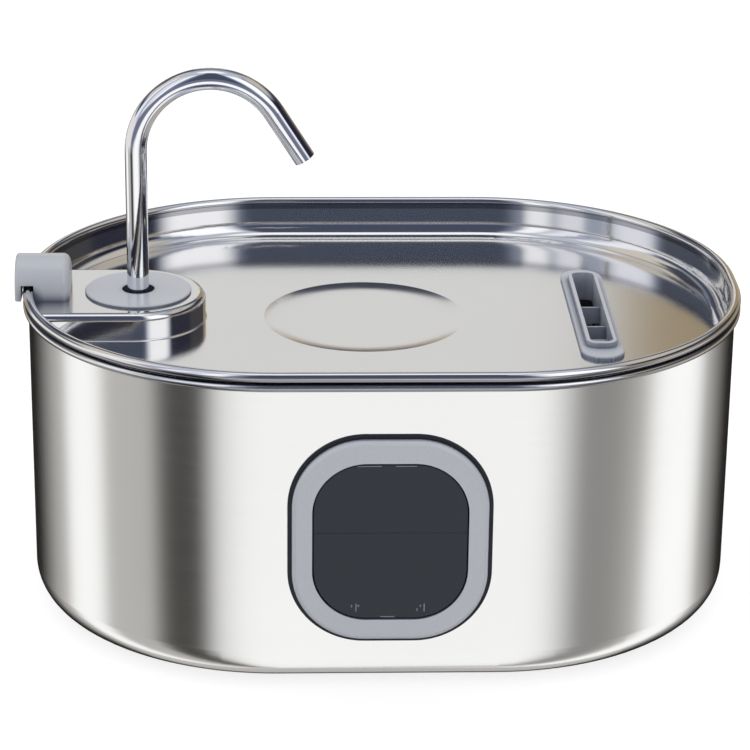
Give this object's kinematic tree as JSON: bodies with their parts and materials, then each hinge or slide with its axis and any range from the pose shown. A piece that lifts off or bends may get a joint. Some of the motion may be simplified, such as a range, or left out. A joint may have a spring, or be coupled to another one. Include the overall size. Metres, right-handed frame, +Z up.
{
  "type": "pet water fountain",
  "caption": "Stainless pet water fountain: oblong tank with a sight window, lift-off tray with a goose-neck spout and drain insert, and a pump inside.",
  "frame": {"origin": "middle of the tank's footprint, on the surface that the base pad stands on", "axes": "+Z up; X along the length, spout at -X; the sight window faces -Y"},
  "size_m": [0.2931, 0.2177, 0.2203],
  "materials": {
    "brushed_steel": "satin stainless, drawn",
    "polished_steel": "polished stainless, pressed",
    "chrome": "bright polished tube",
    "grey_plastic": "satin lilac-grey moulded plastic",
    "dark_plastic": "dark moulded plastic",
    "white_plastic": "white moulded plastic",
    "dark_rubber": "dark silicone rubber",
    "silicone": "grey silicone",
    "clear_silicone": "milky silicone",
    "smoked_clear": "smoked transparent moulding",
    "filter_foam": "fibre pad with carbon",
    "sponge_black": "open-cell sponge",
    "screw_steel": "stainless screw",
    "ceramic_white": "ground ceramic pin",
    "magnet": "moulded ferrite"
  },
  "bodies": {
    "base": {"tank": "brushed_steel", "base_pad": "silicone", "window_bezel": "grey_plastic", "bezel_gasket": "dark_rubber", "window_pane": "smoked_clear", "pane_gasket": "dark_rubber", "window_frame": "dark_plastic", "window_screws": "screw_steel"},
    "tray_set": {"tray": "polished_steel", "cable_grommet": "dark_rubber", "spout_flange": "grey_plastic", "spout_bush": "dark_rubber", "nut_washer": "dark_rubber", "spout_nut": "grey_plastic"},
    "spout": {"spout_tube": "chrome", "spout_stop_ring": "dark_plastic"},
    "clip": {"rim_clip": "grey_plastic"},
    "drain": {"drain_insert": "grey_plastic"},
    "basket": {"filter_basket": "grey_plastic"},
    "pad": {"filter_pad": "filter_foam"},
    "pump": {"pump_body": "dark_plastic", "volute_cover": "dark_plastic", "shaft_bushes": "dark_rubber", "impeller_shaft": "ceramic_white", "suction_cups": "clear_silicone", "cable_gland": "dark_rubber", "outlet_hose": "clear_silicone"},
    "pump_front": {"pump_cover": "dark_plastic", "intake_sponge": "sponge_black"},
    "slider": {"flow_slider": "white_plastic"},
    "rotor": {"impeller": "white_plastic", "rotor_magnet": "magnet"}
  },
  "joints": [
    {"name": "tray_lift", "type": "slide", "parent": "base", "child": "tray_set", "axis": [0, 0, 1], "range_m": [0, 0.06]},
    {"name": "spout_swivel", "type": "hinge", "parent": "tray_set", "child": "spout", "pos_m": [-0.099, 0, 0.15], "axis": [0, 0, 1], "continuous": true},
    {"name": "clip_pull", "type": "slide", "parent": "tray_set", "child": "clip", "axis": [0, 0, 1], "range_m": [0, 0.02]},
    {"name": "drain_lift", "type": "slide", "parent": "tray_set", "child": "drain", "axis": [0, 0, 1], "range_m": [0, 0.045]},
    {"name": "basket_pull", "type": "slide", "parent": "drain", "child": "basket", "axis": [0, 0, -1], "range_m": [0, 0.02]},
    {"name": "pad_lift", "type": "slide", "parent": "basket", "child": "pad", "axis": [0, 0, 1], "range_m": [0, 0.008]},
    {"name": "pump_lift", "type": "slide", "parent": "base", "child": "pump", "axis": [0, 0, 1], "range_m": [0, 0.008]},
    {"name": "cover_pull", "type": "slide", "parent": "pump", "child": "pump_front", "axis": [0, -1, 0], "range_m": [0, 0.02]},
    {"name": "flow_slide", "type": "slide", "parent": "pump_front", "child": "slider", "axis": [1, 0, 0], "range_m": [0, 0.008]},
    {"name": "impeller_spin", "type": "hinge", "parent": "pump", "child": "rotor", "pos_m": [-0.106, 0, 0.024], "axis": [0, 1, 0], "continuous": true}
  ]
}
